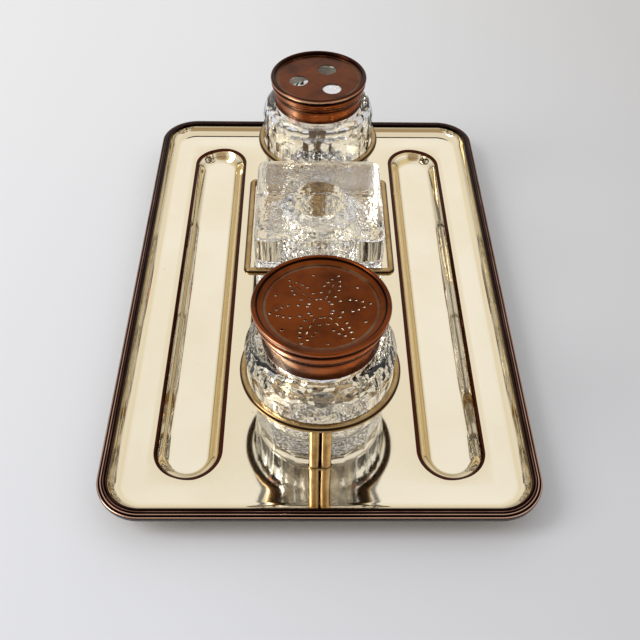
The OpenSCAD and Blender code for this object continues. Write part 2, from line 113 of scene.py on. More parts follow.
# Carries a profile of [distance in from the edge, height] round such a path.
def sweepProfile(path, cornerR, profile):
    centres, outs = path
    reach = (cornerR - profile[:, 0])[:, None, None]
    flat = centres[None] + outs[None] * reach
    up = np.repeat(profile[:, 1][:, None, None], flat.shape[1], axis=1)
    return np.concatenate([flat, up], axis=-1)


# Turns a profile of [radius, height] round an upright axis.
def turnProfile(profile, centre, count):
    a = np.linspace(0, 2 * math.pi, count, endpoint=False)
    r = profile[:, 0][:, None]
    x = centre[0] + r * np.cos(a)[None]
    y = centre[1] + r * np.sin(a)[None]
    z = np.repeat(profile[:, 1][:, None], count, axis=1)
    return np.stack([x, y, z], axis=-1)


# Grid from rows of (reach, height): a row is the loop of radius reach, which is one number or follows the
# angles a.
def loftRows(rows, a):
    r = np.stack([reach + 0 * a for reach, z in rows])
    z = np.stack([z + 0 * a for reach, z in rows])
    return np.stack([r * np.cos(a), r * np.sin(a), z], axis=-1)


# Puts points (in mm) and quads into a mesh, merges seams and poles, and points the faces outwards, or
# upwards where the surface is an open sheet. Edges sharper than the angle stay sharp.
def makeMesh(name, points, quads, attributes, sharp, closed=True, triangles=None):
    mesh = bpy.data.meshes.new(name)
    pts = points.reshape(-1, 3) * mm
    mesh.vertices.add(len(pts))
    mesh.vertices.foreach_set("co", pts.astype(np.float32).ravel())
    corners = quads.ravel()
    starts = np.arange(0, quads.size, 4)
    if triangles is not None:
        starts = np.concatenate([starts, quads.size + np.arange(0, triangles.size, 3)])
        corners = np.concatenate([corners, triangles.ravel()])
    mesh.loops.add(len(corners))
    mesh.loops.foreach_set("vertex_index", corners.astype(np.int32))
    mesh.polygons.add(len(starts))
    mesh.polygons.foreach_set("loop_start", starts.astype(np.int32))
    mesh.update(calc_edges=True)
    for key, values in attributes.items():
        layer = mesh.attributes.new(key, "FLOAT", "POINT")
        layer.data.foreach_set("value", values.astype(np.float32).ravel())
    bm = bmesh.new()
    bm.from_mesh(mesh)
    bmesh.ops.remove_doubles(bm, verts=bm.verts, dist=2e-6)
    bmesh.ops.recalc_face_normals(bm, faces=bm.faces)
    if not closed and sum(f.normal.z * f.calc_area() for f in bm.faces) < 0:
        bmesh.ops.reverse_faces(bm, faces=bm.faces)
    bm.to_mesh(mesh)
    bm.free()
    mesh.polygons.foreach_set("use_smooth", np.ones(len(mesh.polygons), bool))
    mesh.set_sharp_from_angle(angle=math.radians(sharp))
    return mesh


# Makes the finished object, rides it on its body and lets it stand for its node.
def makePiece(name, mesh, material, body, node):
    piece = bpy.data.objects.new(name, mesh)
    scene.collection.objects.link(piece)
    mesh.materials.append(material)
    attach(piece, body)
    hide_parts(node)
    return piece


# Several grids in one mesh: their points one after another, each with its own quads.
def joinGrids(grids):
    points, quads, start = [], [], 0
    for grid, closed in grids:
        rows, cols = grid.shape[:2]
        quads.append(gridQuads(rows, cols, closed, start))
        points.append(grid.reshape(-1, 3))
        start += rows * cols
    return np.concatenate(points), np.concatenate(quads)


# Fills a flat region between an outer loop and the loops inside it with triangles. Each loop is a list of
# indices into the points. A triangle is kept if it lies in the outer loop alone.
def fillBetween(points, loops):
    kept = []
    for loop in loops:
        flat = points[loop][:, :2]
        step = np.abs(np.diff(flat, axis=0, append=flat[:1])).sum(axis=1)
        kept.append(loop[step > 1e-4])    # a point that repeats its neighbour goes
    order = np.concatenate(kept)
    starts = np.cumsum([0] + [len(k) for k in kept])
    faces = [list(range(starts[k], starts[k + 1])) for k in range(len(kept))]
    found = delaunay_2d_cdt(points[order][:, :2].tolist(), [], faces, 1, 1e-5)
    source = np.array([ids[0] for ids in found[3]])
    inOuter = [face for face, origins in zip(found[2], found[5]) if list(origins) == [0]]
    return order[source[np.array(inOuter)]]


# A material with its node tree and its Principled shader.
def newMaterial(name):
    mat = bpy.data.materials.new(name)
    mat.use_nodes = True
    nt = mat.node_tree
    shader = nt.nodes["Principled BSDF"]
    return mat, nt, shader


def addNode(nt, kind, **values):
    node = nt.nodes.new(kind)
    for key, value in values.items():
        node.inputs[key].default_value = value
    return node


# Links each output in the dictionary to the shader's input of that name.
def linkInputs(nt, shader, outputs):
    for key, output in outputs.items():
        nt.links.new(output, shader.inputs[key])


def addRamp(nt, fac, stops):
    ramp = nt.nodes.new("ShaderNodeValToRGB")
    els = ramp.color_ramp.elements
    while len(els) < len(stops):
        els.new(0.5)
    for el, (pos, col) in zip(els, stops):
        el.position = pos
        el.color = (*col, 1)
    nt.links.new(fac, ramp.inputs["Fac"])
    return ramp.outputs["Color"]


# 0 up to low, 1 from high.
def addStep(nt, fac, low, high):
    return addRamp(nt, fac, [(low, (0, 0, 0)), (high, (1, 1, 1))])


# 0 at start and 1 at end, which may lie below start.
def addRange(nt, value, start, end):
    node = addNode(nt, "ShaderNodeMapRange", **{"From Min": float(start), "From Max": float(end)})
    nt.links.new(value, node.inputs["Value"])
    return node.outputs["Result"]


def addNoise(nt, coord, scale, detail=4, rough=0.5, stretch=None):
    if stretch:
        mapping = addNode(nt, "ShaderNodeMapping", Scale=stretch)
        nt.links.new(coord, mapping.inputs["Vector"])
        coord = mapping.outputs["Vector"]
    noise = addNode(nt, "ShaderNodeTexNoise", Scale=scale, Detail=detail, Roughness=rough)
    nt.links.new(coord, noise.inputs["Vector"])
    return noise.outputs["Fac"]


def addMath(nt, operation, a, b=None, clamp=False):
    node = nt.nodes.new("ShaderNodeMath")
    node.operation = operation
    node.use_clamp = clamp
    for k, v in enumerate((a, b)):
        if v is None:
            continue
        if isinstance(v, (int, float)):
            node.inputs[k].default_value = v
        else:
            nt.links.new(v, node.inputs[k])
    return node.outputs[0]


# base + value * gain
def addScaled(nt, base, value, gain):
    return addMath(nt, "ADD", base, addMath(nt, "MULTIPLY", value, gain))


def addMix(nt, fac, a, b, blend="MIX"):
    node = nt.nodes.new("ShaderNodeMix")
    node.data_type = "RGBA"
    node.blend_type = blend
    for socket, v in ((node.inputs[0], fac), (node.inputs[6], a), (node.inputs[7], b)):
        if isinstance(v, (int, float)):
            socket.default_value = v
        elif isinstance(v, tuple):
            socket.default_value = (*v, 1)
        else:
            nt.links.new(v, socket)
    return node.outputs[2]


def addBump(nt, height, strength, distance, normal=None):
    bump = addNode(nt, "ShaderNodeBump", Strength=strength, Distance=distance)
    nt.links.new(height, bump.inputs["Height"])
    if normal is not None:
        nt.links.new(normal, bump.inputs["Normal"])
    return bump.outputs["Normal"]


def objectCoord(nt):
    return nt.nodes.new("ShaderNodeTexCoord").outputs["Object"]


def splitAxes(nt, coord):
    sep = nt.nodes.new("ShaderNodeSeparateXYZ")
    nt.links.new(coord, sep.inputs[0])
    return sep.outputs


def readAttribute(nt, name):
    node = nt.nodes.new("ShaderNodeAttribute")
    node.attribute_name = name
    return node.outputs["Fac"]


# Distance in mm from an upright axis at y = centreY (mm).
def radiusFrom(nt, coord, centreY):
    axes = splitAxes(nt, coord)
    y = addMath(nt, "SUBTRACT", axes["Y"], float(centreY * mm))
    xx = addMath(nt, "MULTIPLY", axes["X"], axes["X"])
    yy = addMath(nt, "MULTIPLY", y, y)
    return addMath(nt, "MULTIPLY", addMath(nt, "SQRT", addMath(nt, "ADD", xx, yy)), 1 / mm)


# Warm silver plate, polished, with dulled patches, hair scratches and small pits. Where slope is 1 it takes
# a painted gold reflection. Where wear is 1 it is dark: copper worn through on a trough's lip, and a
# painted dark reflection lower on its wall.
plateLook = {
    "bright": (0.90, 0.82, 0.66),
    "dull": (0.85, 0.76, 0.58),
    "slope": (0.66, 0.52, 0.27),
    "wornAndShade": (0.052, 0.013, 0.006),
    "pit": (0.30, 0.20, 0.10),
    "rough": 0.05,
    "smearRough": 0.035,         # added to the roughness by the smears
    "wornRough": 0.14,           # and where it is worn through
    "patchScale": 22,
    "smearScale": 90,
    "hairScale": 900,
    "pitScale": 520,
}


def platedSheet():
    look = plateLook
    mat, nt, shader = newMaterial("platedSheet")
    coord = objectCoord(nt)
    patches = addNoise(nt, coord, look["patchScale"], 5, 0.55)
    smears = addNoise(nt, coord, look["smearScale"], 6, 0.6, stretch=(1.0, 0.35, 1.0))
    hair = addNoise(nt, coord, look["hairScale"], 2, 0.5, stretch=(1.0, 0.06, 1.0))
    pits = addNoise(nt, coord, look["pitScale"], 2, 0.5)
    colour = addRamp(nt, patches, [(0.32, look["dull"]), (0.66, look["bright"])])
    colour = addMix(nt, addMath(nt, "MULTIPLY", addStep(nt, pits, 0.765, 0.80), 0.35), colour, look["pit"])
    uneven = addMath(nt, "ADD", 0.45, patches)
    # painted gold reflection on the sloping parts
    goldReflection = addMath(nt, "MULTIPLY", readAttribute(nt, "slope"), uneven, clamp=True)
    colour = addMix(nt, goldReflection, colour, look["slope"])
    # dark where wear is 1: copper worn through on a trough's lip, a painted dark reflection lower on its
    # wall
    ragged = addScaled(nt, readAttribute(nt, "wearAndPaintedLight"), addMath(nt, "SUBTRACT", smears, 0.5), 0.45)
    wornAndShade = addStep(nt, ragged, 0.40, 0.60)
    colour = addMix(nt, wornAndShade, colour, look["wornAndShade"])
    rough = addScaled(nt, look["rough"], smears, look["smearRough"])
    rough = addScaled(nt, rough, wornAndShade, look["wornRough"])
    normal = addBump(nt, hair, 0.02, 0.0002)
    normal = addBump(nt, patches, 0.06, 0.0006, normal)
    shader.inputs["Metallic"].default_value = 1.0
    linkInputs(nt, shader, {"Base Color": colour, "Roughness": rough, "Normal": normal})
    return mat


# Copper of the reeds: painted shade, partly dirt, in the grooves, and a painted highlight over rubbed
# copper on the crests, where wear is 1.
rimLook = {
    "crest": (0.48, 0.30, 0.22),
    "side": (0.085, 0.032, 0.020),
    "groove": (0.008, 0.004, 0.003),
    "grainScale": 60,
}


def wornCopperRimAndSheen():
    look = rimLook
    mat, nt, shader = newMaterial("wornCopperRimAndSheen")
    grain = addNoise(nt, objectCoord(nt), look["grainScale"], 6, 0.6)
    ragged = addScaled(nt, readAttribute(nt, "wearAndPaintedLight"), addMath(nt, "SUBTRACT", grain, 0.5), 0.45)
    colour = addRamp(nt, ragged, [(0.30, look["groove"]), (0.74, look["side"]), (0.98, look["crest"])])
    shader.inputs["Metallic"].default_value = 1.0
    linkInputs(nt, shader, {"Base Color": colour, "Roughness": addScaled(nt, 0.10, grain, 0.10),
                            "Normal": addBump(nt, grain, 0.10, 0.0002)})
    return mat


# Aged gilt brass with browned patches. Where shade is 1 it is painted nearly black: painted shade and dark
# reflections, partly tarnish.
brassLook = {
    "gilt": (0.60, 0.41, 0.19),
    "aged": (0.34, 0.20, 0.075),
    "tarnishAndShade": (0.030, 0.016, 0.008),
    "ageScale": 160,
    "grainScale": 1200,
}


def giltBrass():
    look = brassLook
    mat, nt, shader = newMaterial("giltBrass")
    coord = objectCoord(nt)
    age = addNoise(nt, coord, look["ageScale"], 5, 0.6)
    grain = addNoise(nt, coord, look["grainScale"], 3, 0.5)
    colour = addRamp(nt, age, [(0.30, look["aged"]), (0.62, look["gilt"])])
    dark = addScaled(nt, readAttribute(nt, "shade"), addMath(nt, "SUBTRACT", age, 0.5), 0.3)
    colour = addMix(nt, addStep(nt, dark, 0.12, 0.85), colour, look["tarnishAndShade"])
    shader.inputs["Metallic"].default_value = 1.0
    linkInputs(nt, shader, {"Base Color": colour, "Roughness": addScaled(nt, 0.12, age, 0.10),
                            "Normal": addBump(nt, grain, 0.05, 0.0001)})
    return mat


# Clear lead glass with a slow ripple. Where cut is 1 it is cut and pressed in small uneven facets. Where
# ground is 1 it is ground matt, as a neck is where its cover slides.
glassLook = {
    "tints": ((0.985, 0.99, 0.99), (1.0, 1.0, 1.0)),
    "ior": 1.50,
    "rippleScale": 110,
    "facetScale": 430.0,
    "facetStrength": 0.9,
    "facetDepth": 0.0015,
    "groundWhite": 0.5,
    "groundRough": 0.45,
}


def cutGlass():
    look = glassLook
    mat, nt, shader = newMaterial("cutGlass")
    coord = objectCoord(nt)
    cool, plain = look["tints"]
    tint = addRamp(nt, addNoise(nt, coord, 30, 2), [(0.3, cool), (0.7, plain)])
    ground = readAttribute(nt, "ground")
    ripple = addBump(nt, addNoise(nt, coord, look["rippleScale"], 2), 0.14, 0.0006)
    facets = addNode(nt, "ShaderNodeTexVoronoi", Scale=look["facetScale"])
    nt.links.new(coord, facets.inputs["Vector"])
    height = addMath(nt, "MULTIPLY", facets.outputs["Distance"], readAttribute(nt, "cut"))
    shader.inputs["IOR"].default_value = look["ior"]
    linkInputs(nt, shader, {
        "Base Color": tint,
        "Transmission Weight": addScaled(nt, 1.0, ground, -look["groundWhite"]),
        "Roughness": addMath(nt, "MULTIPLY", ground, look["groundRough"]),
        "Normal": addBump(nt, height, look["facetStrength"], look["facetDepth"], ripple)})
    return mat


platedSheetMat = platedSheet()
wornCopperAndSheenMat = wornCopperRimAndSheen()
giltBrassMat = giltBrass()
cutGlassMat = cutGlass()
print("materials done")


# Sizes are in mm, heights from the flat floor, and distances in from the tray's edge or a trough's outline.
tray = {
    "cornerR": 18.0,
    "flange": 4.0,          # height of the flange under the rim
    "wrap": 1.1,            # where the flange ends inside the rim
    "sweepR": 4.8,
    "sweepIn": 9.0,         # where the sweep meets the dish
    "sweepGoldAt": [4.2, 5.0, 8.2, 9.2],     # painted gold reflection across the sweep, by the distance in
    "sweepGold": [0.9, 0.35, 0.5, 0],
    "dishWidth": 7.0,
    "dishRise": 0.4,
    "sheet": 1.1,
    "troughX": 52.6,
    "troughHalf": 12.75,
    "troughEnd": 106.8,
    "troughDepth": 5.2,
    "lip": 1.2,             # how far outside the outline the wall begins
    "apron": [-2.0, -1.7, -1.45],            # rows of flat floor round a trough
    "hollow": 6.0,          # where the wall meets the bottom
    "sag": 0.22,            # the bottom is pressed very slightly hollow
    "bottomAt": [0.12, 0.3, 0.55, 0.8, 1.0],
    # worn lip and painted dark reflection (wear), and painted gold reflection, down the wall of a trough,
    # by the distance in plus the depth
    "wearAndPaintedLightAt": [-1.5, -1.25, 1.0, 1.3, 4.3, 4.6, 4.9, 5.2],
    "wearAndPaintedLight": [0, 1, 1, 0, 0, 0.6, 0.6, 0],
    "wearIn": 0.9,          # how much further in the worn lip lies on the side towards the tray's edge
    "reflectionAt": [1.0, 1.4, 2.6, 3.0, 5.2, 5.8, 8.6, 9.8, 11.2],
    "goldReflection": [0.3, 0.9, 0.9, 0.15, 0.15, 1, 1, 0.5, 0],
    "outerReflection": 0.3,       # share of that painted gold reflection low down on the wall towards the tray's edge
    "outerReflectionAt": [4.6, 5.6],
}


# The tray's outline, which the pan and the reeded rim share.
def trayOutline():
    return roundedPath(halfX, halfY, tray["cornerR"], 31, 24)


# The pan: a profile (flange, concave sweep, faint dish) carried round the tray, a profile (a wall of half
# a cosine wave, a nearly flat bottom) carried round each trough, and the flat floor filled in between them.
def trayPan():
    t = tray
    sweepC = (t["sweepIn"], t["dishRise"] + t["sweepR"])
    sweepTop = 180 + math.degrees(math.asin((sweepC[1] - t["flange"]) / t["sweepR"]))
    share = np.linspace(0, 1, 8)[1:]
    dish = np.stack([t["sweepIn"] + t["dishWidth"] * share, t["dishRise"] * (1 - share) ** 2], axis=-1)
    edgeProfile = np.concatenate([[[t["wrap"], t["flange"]]], arc(sweepC, t["sweepR"], sweepTop, 270, 14),
                                  dish, [[t["sweepIn"] + t["dishWidth"] + 0.5, 0]]])
    edgeGrid = sweepProfile(trayOutline(), t["cornerR"], edgeProfile)
    edgeReflection = np.interp(edgeProfile[:, 0], t["sweepGoldAt"], t["sweepGold"])
    grids = [(edgeGrid, False)]
    wearAndPaintedLightParts = [np.zeros(edgeGrid.shape[:2])]
    goldReflections = [np.repeat(edgeReflection[:, None], edgeGrid.shape[1], axis=1)]
    down = np.linspace(0, 1, 42)
    wallIn = -t["lip"] + (t["hollow"] + t["lip"]) * down
    wallZ = -t["troughDepth"] * (1 - np.cos(math.pi * down)) / 2
    half = t["troughHalf"]
    flatHalf = half - t["hollow"]
    bottomIn = t["hollow"] + flatHalf * np.array(t["bottomAt"])
    bottomZ = -t["troughDepth"] + t["sag"] * (((half - bottomIn) / flatHalf) ** 2 - 1)
    profile = np.stack([np.concatenate([t["apron"], wallIn, bottomIn]),
                        np.concatenate([np.zeros(len(t["apron"])), wallZ, bottomZ])], axis=-1)
    along = profile[:, 0] - profile[:, 1]
    goldReflection = np.interp(along, t["reflectionAt"], t["goldReflection"])
    low = np.interp(along, t["outerReflectionAt"], [0, 1 - t["outerReflection"]])
    for side in (-1, 1):
        centre = (side * t["troughX"], 0)
        path = roundedPath(half, t["troughEnd"], half, 31, 60, centre)
        grids.append((sweepProfile(path, half, profile), False))
        towardsEdge = np.interp(side * path[1][:, 0], [-0.3, 0.3], [0, 1])[None]
        # the worn lip, and a painted dark reflection stripe lower down the wall
        wearAndPaintedLightParts.append(np.interp(along[:, None] - t["wearIn"] * towardsEdge, t["wearAndPaintedLightAt"], t["wearAndPaintedLight"]))
        goldReflections.append(goldReflection[:, None] * (1 - low[:, None] * towardsEdge))
    points, quads = joinGrids(grids)
    # the floor runs from the last row of the edge to the first rows of the troughs
    starts = np.cumsum([0] + [g[0].shape[0] * g[0].shape[1] for g in grids])
    loops = [np.arange(starts[1] - edgeGrid.shape[1], starts[1])]
    loops += [np.arange(starts[k], starts[k] + grids[k][0].shape[1]) for k in (1, 2)]
    floorTriangles = fillBetween(points, loops)
    points[:, 2] += floorZ
    attributes = {"wearAndPaintedLight": np.concatenate([w.ravel() for w in wearAndPaintedLightParts]),
                  "slope": np.concatenate([g.ravel() for g in goldReflections])}
    mesh = makeMesh("trayPan", points, quads, attributes, sharp=60, closed=False, triangles=floorTriangles)
    pan = makePiece("trayPan", mesh, platedSheetMat, "stand", "tray_pan")
    sheet = pan.modifiers.new("sheet", "SOLIDIFY")
    sheet.thickness = t["sheet"] * mm
    sheet.offset = -1
    return pan


rim = {
    "width": 4.2,
    "top": 5.7,
    "reeds": 4,
    "wearAndPaintedLight": [1.15, 1.05, 0.75, 0.6],     # painted highlight on the crest of each reed, over rubbed copper, the outermost first
    "frontLight": 0.2,       # how much brighter the painted highlights are at the front than in the middle, and darker at the back
    "drop": 0.8,            # how far the outermost reed lies below the innermost
    "overlap": 0.04,
    "hook": 2.6,            # height of the hook's lower edge
    "steps": 15,            # points across a reed
}


# The reeded mount: four round reeds side by side, the outer ones lower, on a strip that hooks over the
# edge. Each reed is an arc between its two grooves, and wear, a painted highlight on the crest, is a power
# of the sine from groove to groove.
def reededRim():
    r = (rim["width"] + (rim["reeds"] - 1) * rim["overlap"]) / rim["reeds"] / 2
    pitch = 2 * r - rim["overlap"]
    parts, wearAndPaintedLightParts = [], []
    last = rim["reeds"] - 1
    for k in range(rim["reeds"]):
        c = (r + k * pitch, rim["top"] - r - rim["drop"] * ((last - k) / last) ** 2)
        a0 = 215 if k == 0 else 172
        a1 = -35 if k == last else 8
        parts.append(arc(c, r, a0, a1, rim["steps"]))
        wearAndPaintedLightParts.append(np.sin(np.linspace(0, math.pi, rim["steps"])) ** 6 * rim["wearAndPaintedLight"][k])
    inner = np.array([[rim["width"], 4.35], [rim["width"], tray["flange"]], [1.08, tray["flange"]],
                      [1.08, rim["hook"]], [0.3, rim["hook"]], [0.16, rim["hook"] + 0.2]])
    profile = np.concatenate(parts + [inner])
    wearAndPaintedLight = np.concatenate(wearAndPaintedLightParts + [np.zeros(len(inner))])
    grid = sweepProfile(trayOutline(), tray["cornerR"], profile)
    grid[..., 2] += floorZ
    # painted light: the highlights brighter towards the front and darker towards the back
    wearAndPaintedLight = wearAndPaintedLight[:, None] * (0.95 - rim["frontLight"] * grid[..., 1] / halfY)
    points, quads = joinGrids([(grid, True)])
    mesh = makeMesh("reededRim", points, quads, {"wearAndPaintedLight": wearAndPaintedLight}, sharp=50)
    return makePiece("reededRim", mesh, wornCopperAndSheenMat, "stand", "reeded_rim")


trayPan()
reededRim()
print("tray done")

foot = {
    "bun": 5.0,
    "flange": 5.2,
    "waist": 3.1,
    "bunShare": 0.34,       # half the bun's height, as a share of the foot's
}


# A turned bun under a thin flange: half a round at the bottom, a waist, and the flange above.
def bunFoot(name, node):
    lo, hi = boxMm(node)
    centre = (lo[:2] + hi[:2]) / 2
    top = hi[2]
    half = foot["bunShare"] * top
    waist, flange = foot["waist"], foot["flange"]
    profile = np.concatenate([[[0, 0]], arc((foot["bun"] - half, half), half, -90, 62, 12),
                              arc((waist + 1.0, 2 * half + 0.75), 1.0, 250, 180, 5),
                              [[waist, top - 1.4], [waist + 0.5, top - 0.9], [flange - 0.15, top - 0.9],
                               [flange, top - 0.75], [flange, top], [0, top]]])
    points, quads = joinGrids([(turnProfile(profile, centre, 64), False)])
    mesh = makeMesh(name, points, quads, {}, sharp=45)
    return makePiece(name, mesh, giltBrassMat, "stand", node)


for end in ("front", "back"):
    for side in ("left", "right"):
        bunFoot(f"foot{end.title()}{side.title()}", f"foot_{end}_{side}")
print("feet done")

gallery = {
    "width": 2.8,
    "height": 3.0,
    "edge": 0.25,
    "cornerR": 3.2,         # outer corner of the square frame
    "steps": 160,           # points round a ring
    "roundSteps": 21,       # and round the outer half of its section
    # painted shade and dark reflections of a bar, partly tarnish: round its outer half by the angle, then
    # at its inner top and bottom edges
    "outerAt": [-90, -36, -26, -8, 2, 12, 20, 48, 58, 90],
    "outerShade": [1, 1, 0.45, 0.35, 0.05, 0.05, 1, 1, 0.5, 0.2],
    "topShade": [0.35, 0.85, 0.9, 0.7, 0.25],
    "bottomShade": [0.25, 0.5, 1, 1, 1],
}


# Section of a bar in [out from the inner face, up]: flat inside with eased edges, half round outside.
def barSection():
    w, h, e = gallery["width"], gallery["height"], gallery["edge"]
    r = h / 2
    outer = arc((w - r, r), r, -90, 90, gallery["roundSteps"])
    top = arc((e, h - e), e, 90, 180, len(gallery["topShade"]))
    bottom = arc((e, e), e, 180, 270, len(gallery["bottomShade"]))
    return np.concatenate([outer, top, bottom])


# Painted shade of a bar, partly tarnish, one value for each point of its section.
def barShade():
    a = np.linspace(-90, 90, gallery["roundSteps"])
    outer = np.interp(a, gallery["outerAt"], gallery["outerShade"])
    return np.concatenate([outer, gallery["topShade"], gallery["bottomShade"]])


# A ring: the bar's section turned round the pot's axis.
def galleryRing(name, node):
    lo, hi = boxMm(node)
    centre = (lo[:2] + hi[:2]) / 2
    innerR = (hi[0] - lo[0]) / 2 - gallery["width"]
    section = barSection() + np.array([innerR, lo[2]])
    points, quads = joinGrids([(turnProfile(section, centre, gallery["steps"]), True)])
    mesh = makeMesh(name, points, quads, {"shade": np.repeat(barShade(), gallery["steps"])}, sharp=60)
    return makePiece(name, mesh, giltBrassMat, "stand", node)


# The square frame: the same section carried round a square with round corners.
def inkwellFrame():
    lo, hi = boxMm("inkwell_frame")
    centre = (lo[:2] + hi[:2]) / 2
    half = (hi[0] - lo[0]) / 2
    section = barSection()
    profile = np.stack([gallery["width"] - section[:, 0], section[:, 1] + lo[2]], axis=-1)
    path = roundedPath(half, half, gallery["cornerR"], 13, 4, centre)
    grid = sweepProfile(path, gallery["cornerR"], profile)
    points, quads = joinGrids([(grid, True)])
    shade = np.repeat(barShade(), grid.shape[1])
    mesh = makeMesh("inkwellFrame", points, quads, {"shade": shade}, sharp=60)
    return makePiece("inkwellFrame", mesh, giltBrassMat, "stand", "inkwell_frame")


post = {
    "columnR": 2.3,
    "columnX": 2.15,        # from the middle line to the axis of a column
    "lip": 0.35,            # how far the flange at the foot stands out
    "footHeight": 0.9,
    "steps": 19,            # points round a column
    "studR": 1.25,
    "studShade": 0.3,
    # painted shade round a column by the angle, from the back edge over the front to the middle line
    "shadeAt": [-90, -80, -70, -55, 5, 25, 45, 70, 90],
    "shade": [0.1, 0.8, 0.7, 0.12, 0, 0.4, 0.15, 0.7, 1],
}


# Outline of two half rounds side by side, flat at the back: two arcs that meet on the middle line.
def twinHalfRounds(r, cx):
    meet = math.degrees(math.acos(min(1, cx / r)))
    left = arc((-cx, 0), r, 180, 360 - meet, post["steps"])
    right = arc((cx, 0), r, 180 + meet, 360, post["steps"])
    return np.concatenate([left, right[1:]])


# Painted shade of a post round its outline: dark where the columns meet and down their outer sides,
# gilt behind.
def postShade():
    half = np.interp(np.linspace(-90, 90, post["steps"]), post["shadeAt"], post["shade"])
    return np.concatenate([half, half[::-1][1:]])


# A post: the outline carried up through the flange and the columns and closed at both ends, and the stud
# turned below it.
def galleryPost(name, node, facing):
    lo, hi = boxMm(node)
    backY = hi[1] if facing > 0 else lo[1]
    h, lip = post["footHeight"], post["lip"]
    rows = [(0.0, lip - 0.05), (0.1, lip), (h - 0.2, lip), (h - 0.05, lip - 0.08), (h, lip - 0.25),
            (h + 0.05, 0.0), (h + 1.0, 0.0), (barZ - floorZ, 0.0)]
    loops = []
    for z, grow in rows:
        flat = twinHalfRounds(post["columnR"] + grow, post["columnX"])
        loops.append(np.column_stack([flat, np.full(len(flat), z)]))
    grid = np.stack(loops)
    poleX, poleY = 0, -0.45    # the ends close to a point
    first = np.full_like(grid[:1], [poleX, poleY, rows[0][0]])
    last = np.full_like(grid[:1], [poleX, poleY, rows[-1][0]])
    grid = np.concatenate([first, grid, last])
    tip = lo[2] - floorZ
    r = post["studR"]
    stud = np.array([[0, 0.5], [r, 0.5], [r, tip + 0.3], [r - 0.3, tip], [0, tip]])
    studGrid = turnProfile(stud, (0, -post["columnR"] / 2), 32)
    points, quads = joinGrids([(grid, False), (studGrid, False)])
    points[:, :2] *= facing
    points += np.array([0, backY, floorZ])
    shade = np.repeat(postShade()[None], grid.shape[0], axis=0)
    shade[1] = 1    # painted shade under the flange and in the corner above it
    shade[4:6] = np.maximum(shade[4:6], 0.9)
    shade = np.concatenate([shade.ravel(), np.full(studGrid[..., 0].size, post["studShade"])])
    mesh = makeMesh(name, points, quads, {"shade": shade}, sharp=50)
    return makePiece(name, mesh, giltBrassMat, "stand", node)


galleryRing("pounceRing", "pounce_ring")
galleryRing("quillRing", "quill_ring")
inkwellFrame()
for owner in ("pounce", "inkwell", "quill"):
    galleryPost(f"{owner}PostFront", f"{owner}_post_front", 1)
    galleryPost(f"{owner}PostBack", f"{owner}_post_back", -1)
print("galleries done")

# What both cut-glass pots share, and then each pot. Heights are from the tray's floor.
glass = {
    "wall": 3.6,
    "bottom": 6.0,
    "boreRound": 5.0,       # where the bore's wall meets the bottom
    "neckWall": 3.2,
    "ledge": 1.5,           # the flat round the neck that a cover rests on
    "shoulderRise": 9.0,
    "diamond": 0.5,         # depth of the diamonds cut in the shoulder
    "diamondAt": 35,        # their middle, as an angle up the shoulder
    "diamondBelow": 2.0,    # how far below the shoulder they may reach
    "neckGap": 0.25,
    "skirt": 0.95,
    "seatLap": 0.4,
    "round": 0.7,
    "lift": 0.04,           # the undersides stand clear of the plate, so that it shows through them
    "boreCut": 0.07,        # faint ripple inside the shoulder
    "steps": 24,            # points across a panel
    "wallRows": 34,
    "shoulderRows": 44,
}
# Radii of body, base and neck, heights of the shoulder and of the neck above it, and the count of panels.
pouncePot = {"bodyR": 29.4, "baseR": 25.7, "neckR": 21.3, "shoulder": 44.5, "neck": 11.0, "panels": 16}
quillPot = {"bodyR": 27.5, "baseR": 26.6, "neckR": 20.2, "shoulder": 47.7, "neck": 7.7, "panels": 18}


